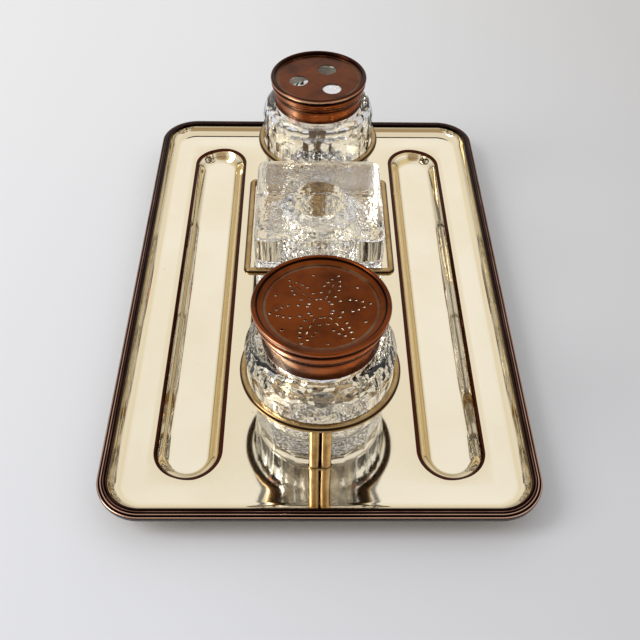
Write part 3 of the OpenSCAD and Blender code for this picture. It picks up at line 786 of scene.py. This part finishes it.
# The outer wall at angle a and height z is the least of three reaches: the turned body (cone, then a
# quarter of an ellipse to the ledge), the flat panel, and the flat diamond that leans back on the shoulder.
# The neck and the bore are turned. The second result says which rows are the inside of mouth and shoulder.
def potGrid(pot):
    g = glass
    seat = pot["neckR"] + g["neckGap"] + g["skirt"] + g["seatLap"]
    ledge = seat + g["ledge"]
    girdle = pot["shoulder"] - g["shoulderRise"]
    run = pot["bodyR"] - ledge
    half = math.pi / pot["panels"]
    count = pot["panels"] * g["steps"]
    a = np.arange(count) * 2 * math.pi / count
    coneZ = g["round"] + np.linspace(0, 1, g["wallRows"]) * (girdle - g["round"])
    coneR = pot["baseR"] + (pot["bodyR"] - pot["baseR"]) * coneZ / girdle
    t = np.linspace(0, math.pi / 2, g["shoulderRows"])[1:]
    z = np.concatenate([coneZ, girdle + g["shoulderRise"] * np.sin(t)])
    turned = np.concatenate([coneR, ledge + run * np.cos(t)])
    flatBase = pot["baseR"] * math.cos(half)
    flatGirdle = pot["bodyR"] * math.cos(half)
    offPanel = (a % (2 * half)) - half    # angle from the middle of the panel
    offDiamond = (a + half) % (2 * half) - half    # angle from the line between panels
    panel = (flatBase + (flatGirdle - flatBase) * z / girdle)[:, None] / np.cos(offPanel)[None]
    mid = math.radians(g["diamondAt"])
    midR, midZ = ledge + run * math.cos(mid), girdle + g["shoulderRise"] * math.sin(mid)
    lean = math.atan(run * math.sin(mid) / (g["shoulderRise"] * math.cos(mid)))
    planeR = midR - g["diamond"] / math.cos(lean) - (z - midZ) * math.tan(lean)
    diamond = planeR[:, None] / np.cos(offDiamond)[None]
    diamond = np.where(z[:, None] > girdle - g["diamondBelow"], diamond, np.inf)
    wall = np.minimum(np.minimum(turned[:, None], panel), diamond)
    # the underside and its rounded edge, the wall, the ledge and the neck
    low = np.minimum(pot["baseR"], panel[0]) - g["round"]
    rows = [(0, g["lift"]), (low * 0.5, g["lift"]), (low, g["lift"]), (wall[0] - 0.2, 0.2)]
    rows += list(zip(wall, z))
    neckTop = pot["shoulder"] + pot["neck"]
    neckR = pot["neckR"]
    rows += [(seat, pot["shoulder"]), (neckR, pot["shoulder"] + 0.01), (neckR, neckTop - 0.8),
             (neckR - 0.25, neckTop - 0.22), (neckR - 0.8, neckTop)]
    # the bore: mouth and rounded shoulder, then the upright wall and a rounded bottom
    bore = flatBase - g["wall"]
    mouth = neckR - g["neckWall"]
    first = len(rows)
    rows += [(mouth + 0.5, neckTop), (mouth, neckTop - 0.5)]
    down = degrees(90, 0, 14)
    rise = g["shoulderRise"] - 1
    rows += list(zip(mouth + (bore - mouth) * np.cos(down), girdle + rise * np.sin(down)))
    last = len(rows)
    rows += list(arc((bore - g["boreRound"], g["bottom"] + g["boreRound"]), g["boreRound"], 0, -90, 10))
    rows += [(bore * 0.4, g["bottom"]), (0, g["bottom"])]
    return loftRows(rows, a), (first, last)


# A pot on its axis. Its underside is cut all over, and its neck is ground outside.
def glassPot(name, node, pot, centreY, body):
    grid, (first, last) = potGrid(pot)
    count = grid.shape[1]
    radius = grid[:, 0, 0]
    cut = np.where(grid[:, 0, 2] < 0.3, 1.0, 0.0)
    cut[first:last] = glass["boreCut"]
    ground = np.where(np.abs(radius - pot["neckR"]) < 0.01, 1.0, 0.0)
    attributes = {"cut": np.repeat(cut, count), "ground": np.repeat(ground, count)}
    points, quads = joinGrids([(grid + np.array([0, centreY, floorZ]), False)])
    mesh = makeMesh(name, points, quads, attributes, sharp=33)
    return makePiece(name, mesh, cutGlassMat, body, node)


glassPot("pouncePotGlass", "pounce_pot", pouncePot, pounceY, "pounce_pot")
glassPot("quillPotGlass", "quill_pot", quillPot, quillY, "quill_pot")
print("pots done")

# Browned copper of the covers: a satin brown plate with a patchy ring of verdigris in its corner, and
# brighter rubbed metal on the skirt, with painted highlights on the crests. Where shade is 1 it is
# painted shade, partly tarnish, below 0 a painted highlight on a crest, and where wear is 1 a bright
# painted highlight.
coverLook = {
    "rubbed": (0.58, 0.155, 0.042),
    "paintedHighlight": (0.97, 0.72, 0.54),
    "verdigris": (0.115, 0.09, 0.04),
    "shadeLine": (0.010, 0.003, 0.002),      # painted shade in the grooves, partly tarnish, and on the edges of the holes
    "tinned": (0.86, 0.85, 0.83),       # inside the cover
    "ringIn": 0.5,                      # how far in from the bore the verdigris lies, mm
    "rough": 0.17,
    "cloudScale": 55,
    "speckScale": 420,
}


def brownedCopper(name, node, pot, cover, centreY):
    look = coverLook
    top = boxMm(node)[1][2]
    boreR = pot["neckR"] + glass["neckGap"]
    skirtTop = top - 2 * coverParts["roll"] - cover["moulding"]
    plateTop = top - cover["recess"]
    mat, nt, shader = newMaterial(name)
    coord = objectCoord(nt)
    cloud = addNoise(nt, coord, look["cloudScale"], 6, 0.62)
    speck = addNoise(nt, coord, look["speckScale"], 4, 0.6)
    height = addMath(nt, "MULTIPLY", splitAxes(nt, coord)["Z"], 1 / mm)
    radius = radiusFrom(nt, coord, centreY)
    shade = readAttribute(nt, "shade")
    colour = addRamp(nt, cloud, [(0.36, cover["dark"]), (0.60, cover["brown"])])
    colour = addMix(nt, addStep(nt, shade, 0.1, 0.9), colour, look["shadeLine"])
    # rubbed copper below the mouldings, and painted highlights on their crests
    below = addRange(nt, height, skirtTop + 0.4, skirtTop - 0.8)
    rubbed = addMath(nt, "MAXIMUM", below, addMath(nt, "MULTIPLY", shade, -1.0, clamp=True))
    rubbed = addMath(nt, "MULTIPLY", rubbed, addScaled(nt, -0.35, cloud, 2.2), clamp=True)
    colour = addMix(nt, rubbed, colour, look["rubbed"])
    highlightMask = readAttribute(nt, "wearAndPaintedLight")
    colour = addMix(nt, highlightMask, colour, look["paintedHighlight"])
    # verdigris on the plate, in patches of a narrow ring
    off = addMath(nt, "ABSOLUTE", addMath(nt, "SUBTRACT", radius, float(boreR - look["ringIn"])))
    above = addRange(nt, height, plateTop - 0.3, plateTop - 0.1)
    ring = addMath(nt, "MULTIPLY", addRange(nt, off, 0.9, 0.2), above)
    green = addMath(nt, "MULTIPLY", ring, addStep(nt, cloud, 0.44, 0.62))
    colour = addMix(nt, addMath(nt, "MULTIPLY", green, 0.7), colour, look["verdigris"])
    # painted shade on the edges of the holes, and within the bore and under the plate the cover is tinned
    within = addRange(nt, radius, boreR + 0.4, boreR + 0.2)
    for start, tone in ((0.03, look["shadeLine"]), (0.42, look["tinned"])):
        under = addRange(nt, height, plateTop - start, plateTop - start - 0.06)
        colour = addMix(nt, addMath(nt, "MULTIPLY", within, under), colour, tone)
    rough = addScaled(nt, look["rough"], speck, 0.14)
    rough = addScaled(nt, rough, green, 0.3)
    rough = addScaled(nt, rough, highlightMask, -0.08)
    linkInputs(nt, shader, {"Base Color": colour, "Metallic": addScaled(nt, 1.0, green, -0.6),
                            "Roughness": rough, "Normal": addBump(nt, speck, 0.08, 0.0001)})
    return mat


# Each cover. rollShade is the painted shade round the rolled rim, partly tarnish, below 0 a painted
# highlight. The last entry lists painted highlight spots, as direction, spread, and amount on the skirt,
# the mouldings and the rolled rim.
pounceCover = {
    "brown": (0.165, 0.038, 0.008),
    "dark": (0.072, 0.017, 0.004),
    "rimOut": 3.3,
    "recess": 2.1,
    "lift": 3.6,
    "moulding": 8.7,
    "rollShade": [1, 0.8, -0.3, -0.6, 0, 0, 1],
    "paintedHighlight": [(234, 10, 1.0, 1.0, 0.9), (222, 26, 0.6, 0.6, 0.7), (50, 14, 0, 0, 0.7)],
}
quillCover = {
    "brown": (0.150, 0.037, 0.008),
    "dark": (0.065, 0.018, 0.006),
    "rimOut": 1.9,
    "recess": 1.8,
    "lift": 3.6,
    "moulding": 6.6,
    "rollShade": [1, -1, -1, -0.5, 0.75, 0.6, 1],
    "paintedHighlight": [(234, 12, 0.35, 0.35, 0.9), (262, 52, 0, 0, 0.8), (50, 20, 0, 0, 0.5)],
}
coverParts = {
    "plate": 0.8,
    "lipIn": 0.2,
    "lap": 0.65,
    "roll": 1.0,            # radius of the rolled rim
    "rollAt": [-60, -30, -5, 20, 60, 120, 150],         # angles round it, from below to inside
    "rollSteps": 22,
    "steps": 160,           # points round a cover
    # mouldings from the skirt up to the rolled rim: share of the rim's reach, share of the height, and
    # painted shade, partly tarnish, below 0 a painted highlight
    "mouldings": [(0.1, 0.01, 0.2), (0.1, 0.06, -0.9), (0.05, 0.08, 1.0), (0.08, 0.16, 0.6),
                  (0.16, 0.26, -0.6), (0.3, 0.36, -0.6), (0.44, 0.42, 0.4), (0.44, 0.46, 1.0),
                  (0.54, 0.48, -0.3), (0.58, 0.54, -1.0), (0.54, 0.6, 0.2), (0.5, 0.62, 1.0),
                  (0.6, 0.65, 0.2), (0.78, 0.68, -0.5), (0.82, 0.75, -1.0), (0.78, 0.82, 0.2),
                  (0.66, 0.85, 1.0), (0.62, 0.92, 1.0)],
}


# The spun cover, turned: skirt, mouldings that spread out above it, the rolled rim, and the slope to the
# plate. A row of the profile is [radius, height, painted shade], the shade below 0 a painted highlight.
def coverCollar(name, node, body, pot, cover, centreY, material):
    c = coverParts
    count = c["steps"]
    inner = pot["neckR"] + glass["neckGap"]
    outer = inner + glass["skirt"]
    rimR = outer + cover["rimOut"]
    base = pot["shoulder"]
    neckTop = base + pot["neck"]
    plateZ = neckTop + cover["lift"]
    plateTop = plateZ + c["plate"]
    top = plateTop + cover["recess"]
    lip = inner - c["lipIn"]
    groove = lip + c["lap"]
    roll = c["roll"]
    skirtTop = top - 2 * roll - cover["moulding"]
    # third column: painted shade on the skirt's edges, under the roll and inside the cover
    skirt = np.array([[inner, base, 1.0], [outer - 0.1, base, 1.0], [outer, base + 0.12, 1.0],
                      [outer, base + 0.5, 0.2], [outer, skirtTop - 0.4, 0.0], [outer, skirtTop, 0.7]])
    shares = np.array(c["mouldings"])
    steps = np.column_stack([outer + shares[:, 0] * cover["rimOut"],
                             skirtTop + shares[:, 1] * cover["moulding"], shares[:, 2]])
    a0, a1 = c["rollAt"][0], c["rollAt"][-1]
    rolled = arc((rimR - roll, top - roll), roll, a0, a1, c["rollSteps"])
    rolledShade = np.interp(np.linspace(a0, a1, c["rollSteps"]), c["rollAt"], cover["rollShade"])
    slope = np.array([[rimR - 2.2 * roll, top - 1.05 * roll, 1.0], [rimR - 2.45 * roll, top - roll, 0.25],
                      [lip + 1.0, plateTop + 0.62, 0.0], [lip + 0.4, plateTop + 0.4, 0.0]])
    edge = arc((lip + 0.4, plateTop), 0.4, 90, 180, 5)[1:]
    inside = np.array([[groove, plateTop, 1.0], [groove, plateZ, 1.0], [lip, plateZ, 1.0],
                       [lip, neckTop + 0.5, 1.0], [inner, neckTop + 0.5, 1.0]])
    profile = np.concatenate([skirt, steps, np.column_stack([rolled, rolledShade]), slope,
                              np.column_stack([edge, np.full(len(edge), 0.6)]), inside])
    grid = turnProfile(profile[:, :2], (0, centreY), count)
    grid[..., 2] += floorZ
    points, quads = joinGrids([(grid, True)])
    # painted highlights: each spot is a bell curve round the axis, on the skirt, the crests and the roll
    angle = np.arange(count) * 360 / count
    crest = np.clip(-profile[:, 2], 0, 1)
    crest[3:5] = 1    # the plain band of the skirt
    zone = np.repeat([0, 1, 2], [len(skirt), len(steps), len(profile) - len(skirt) - len(steps)])
    wearAndPaintedLight = np.zeros((len(profile), count))
    for at, spread, *amounts in cover["paintedHighlight"]:
        off = (angle - at + 180) % 360 - 180
        amount = crest * np.array(amounts)[zone]
        wearAndPaintedLight = np.maximum(wearAndPaintedLight, amount[:, None] * np.exp(-(off / spread) ** 2)[None])
    mesh = makeMesh(name, points, quads, {"shade": np.repeat(profile[:, 2], count), "wearAndPaintedLight": wearAndPaintedLight}, sharp=38)
    return makePiece(name, mesh, material, body, node)


pounceCopper = brownedCopper("brownedCopperPounce", "pounce_collar", pouncePot, pounceCover, pounceY)
quillCopper = brownedCopper("brownedCopperQuill", "quill_collar", quillPot, quillCover, quillY)
coverCollar("pounceCoverCollar", "pounce_collar", "pounce_cover", pouncePot, pounceCover, pounceY,
            pounceCopper)
coverCollar("quillCoverCollar", "quill_collar", "quill_cover", quillPot, quillCover, quillY, quillCopper)
print("covers done")

well = {
    "edgeR": 4.5,
    "bevel": 0.9,
    "mouthR": 12.0,
    "chamberR": 18.0,
    "chamberRound": 8.0,
    "bottom": 8.0,
    "neckDrop": 7.0,        # depth of the mouth down to the chamber
    "margin": 4.8,          # clear border round the cut underside
    "steps": 256,
    # how strongly the underside, its border, the mouth and the chamber are rippled
    "cut": {"under": 1.0, "margin": 0.12, "mouth": 0.2, "chamber": 0.6},
}


# The block: square loops with round corners carried up the outside, drawn in to the round mouth, and the
# round chamber below it. The underside is cut all over inside a clear margin.
def inkwellBlock():
    w = well
    half = (wellHi[0] - wellLo[0]) / 2
    height = wellHi[2] - wellLo[2]
    a = np.arange(w["steps"]) * 2 * math.pi / w["steps"]
    c, s = np.abs(np.cos(a)), np.abs(np.sin(a))

    # Reach of a square of half side h, by angle: h over the larger of cosine and sine, and in a corner the
    # far crossing with a circle of radius r about the corner's centre.
    def squareReach(h, r):
        straight = h / np.maximum(c, s)
        k = h - r
        b = k * (c + s)
        rounded = b + np.sqrt(np.maximum(b * b - (2 * k * k - r * r), 0))
        return np.where(straight * np.minimum(c, s) > k, rounded, straight)

    # The outside drawn in by d.
    def inset(d):
        return squareReach(half - d, w["edgeR"] - d)

    low = glass["lift"]
    under = squareReach(half - w["margin"], 2.5)
    rows = [(0, low)] + [(f * under, low) for f in (0.25, 0.5, 0.75, 0.92, 1.0)]
    marginRow = len(rows)
    rows += [(squareReach(half - w["margin"] + 0.5, 3.0), low), (inset(1.0), low)]
    sideRow = len(rows)
    rows += [(inset(0.35), 0.08), (inset(0.06), 0.4), (inset(0), 0.9)]
    rows += [(inset(0), f * height) for f in (0.25, 0.5, 0.75)]
    bevel = w["bevel"]
    flatTop = inset(bevel + 0.4)
    rows += [(inset(0), height - bevel), (inset(0.08), height - bevel * 0.75),
             (inset(bevel * 0.8), height - 0.05), (inset(bevel), height), (flatTop, height)]
    mouthRow = len(rows)
    mouthR, chamberR = w["mouthR"], w["chamberR"]
    rows += [(flatTop * (1 - f) + (mouthR + 1.2) * f, height) for f in (0.4, 0.75, 1.0)]
    rows += [(mouthR + 0.4, height - 0.25), (mouthR, height - 0.9)]
    chamberRow = len(rows)
    neck = height - w["neckDrop"]
    step = chamberR - mouthR
    bend = w["chamberRound"]
    rows += [(mouthR, neck)] + list(arc((mouthR, neck - step), step, 90, 0, 12))
    rows += list(arc((chamberR - bend, w["bottom"] + bend), bend, 0, -90, 12))
    rows += [(4, w["bottom"]), (0, w["bottom"])]
    grid = loftRows(rows, a) + np.array([0, wellY, floorZ])
    points, quads = joinGrids([(grid, False)])
    cut = np.zeros(grid.shape[:2])
    cut[:marginRow] = w["cut"]["under"]
    cut[marginRow:sideRow] = w["cut"]["margin"]
    cut[mouthRow:chamberRow] = w["cut"]["mouth"]
    cut[chamberRow:] = w["cut"]["chamber"]
    mesh = makeMesh("inkwellGlass", points, quads, {"cut": cut}, sharp=33)
    return makePiece("inkwellGlass", mesh, cutGlassMat, "inkwell", "inkwell")


inkwellBlock()
print("inkwell done")

# The plates, washers and nuts keep their own meshes.
for node, material in (("pounce_plate", pounceCopper), ("quill_plate", quillCopper),
                       ("stud_washers", giltBrassMat), ("stud_nuts", giltBrassMat)):
    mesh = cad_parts[node].data
    mesh.materials.clear()
    mesh.materials.append(material)
print("plates and fasteners done")

room = {
    "floorFar": (0.70, 0.71, 0.73),
    "floorNear": (0.60, 0.615, 0.66),
    "rightShade": (0.80, 0.79, 0.78),        # painted shade: the table top is this much darker on the right
    "tableHalf": 4,                         # in m
    # colours of the walls and ceiling, by height from the horizon to straight up
    "walls": [(0.0, (0.60, 0.585, 0.57)), (0.22, (0.66, 0.65, 0.63)), (0.45, (0.93, 0.92, 0.90)),
              (0.62, (1.0, 0.99, 0.97)), (1.0, (0.92, 0.92, 0.92))],
    "viewer": (0.40, 0.29, 0.17),
    "viewerShare": 0.92,
    "backdrop": (0.80, 0.81, 0.83),
    "strength": 1.0,
}


# Pale table top with painted shade: its colour cools and darkens a little towards the viewer and darkens
# to the right.
def tableTop():
    h = room["tableHalf"]
    mesh = bpy.data.meshes.new("tableTop")
    mesh.from_pydata([(-h, -h, 0), (h, -h, 0), (h, h, 0), (-h, h, 0)], [], [(0, 1, 2, 3)])
    table = bpy.data.objects.new("tableTop", mesh)
    scene.collection.objects.link(table)
    mat, nt, shader = newMaterial("paleTable")
    axes = splitAxes(nt, objectCoord(nt))
    colour = addMix(nt, addRange(nt, axes["Y"], -0.2, 0.35), room["floorNear"], room["floorFar"])
    colour = addMix(nt, addRange(nt, axes["X"], -0.05, 0.22), colour, room["rightShade"], blend="MULTIPLY")
    shader.inputs["Roughness"].default_value = 0.7
    linkInputs(nt, shader, {"Base Color": colour})
    mesh.materials.append(mat)


# The room seen in the metal and the glass: pale above, a little darker low down, and dim at the viewer.
def softRoom():
    world = bpy.data.worlds.new("softRoom")
    scene.world = world
    world.use_nodes = True
    nt = world.node_tree
    back = nt.nodes["Background"]
    axes = splitAxes(nt, nt.nodes.new("ShaderNodeTexCoord").outputs["Generated"])
    walls = addRamp(nt, axes["Z"], room["walls"])
    across = addMath(nt, "ABSOLUTE", axes["X"])
    dim = room["viewerShare"]
    for source, clear, full in ((axes["Y"], -0.42, -0.60), (across, 0.56, 0.32), (axes["Z"], 0.15, 0.35)):
        dim = addMath(nt, "MULTIPLY", addRange(nt, source, clear, full), dim)
    seen = addMix(nt, dim, walls, room["viewer"])
    direct = nt.nodes.new("ShaderNodeLightPath").outputs["Is Camera Ray"]
    nt.links.new(addMix(nt, direct, seen, room["backdrop"]), back.inputs["Color"])
    back.inputs["Strength"].default_value = room["strength"]


window = {
    "place": (-0.95, -0.22, 0.85),          # in m
    "target": (0, 0, 0.02),
    "size": (0.45, 0.85),
    "power": 8.5,
    "colour": (1.0, 0.985, 0.96),
}


# A large soft lamp to the left, turned to its target.
def windowLamp():
    light = bpy.data.lights.new("windowLamp", "AREA")
    light.shape = "RECTANGLE"
    light.size, light.size_y = window["size"]
    light.energy = window["power"]
    light.color = window["colour"]
    lamp = bpy.data.objects.new("windowLamp", light)
    place = Vector(window["place"])
    lamp.location = place
    lamp.rotation_euler = (Vector(window["target"]) - place).to_track_quat("-Z", "Y").to_euler()
    scene.collection.objects.link(lamp)


view = {
    "place": (-5.09, -293.1, 296.2),        # in mm
    "down": 46.77,                          # below the horizon, degrees
    "turn": 1.213,                          # to the right
    "roll": 1.063,
    "lens": 48.947,
    "sensor": 36,
}


# The camera: tilted down, turned and rolled at its place.
def viewCamera():
    lens = bpy.data.cameras.new("viewCamera")
    lens.lens = view["lens"]
    lens.sensor_width = view["sensor"]
    lens.clip_start = 0.01
    camera = bpy.data.objects.new("viewCamera", lens)
    turn = Matrix.Rotation(math.radians(-view["turn"]), 4, "Z")
    tilt = Matrix.Rotation(math.radians(90 - view["down"]), 4, "X")
    roll = Matrix.Rotation(math.radians(view["roll"]), 4, "Z")
    camera.matrix_world = Matrix.Translation(Vector(view["place"]) * mm) @ turn @ tilt @ roll
    scene.collection.objects.link(camera)
    scene.camera = camera


tableTop()
softRoom()
windowLamp()
viewCamera()
scene.view_settings.view_transform = "Standard"
print("camera and light done")
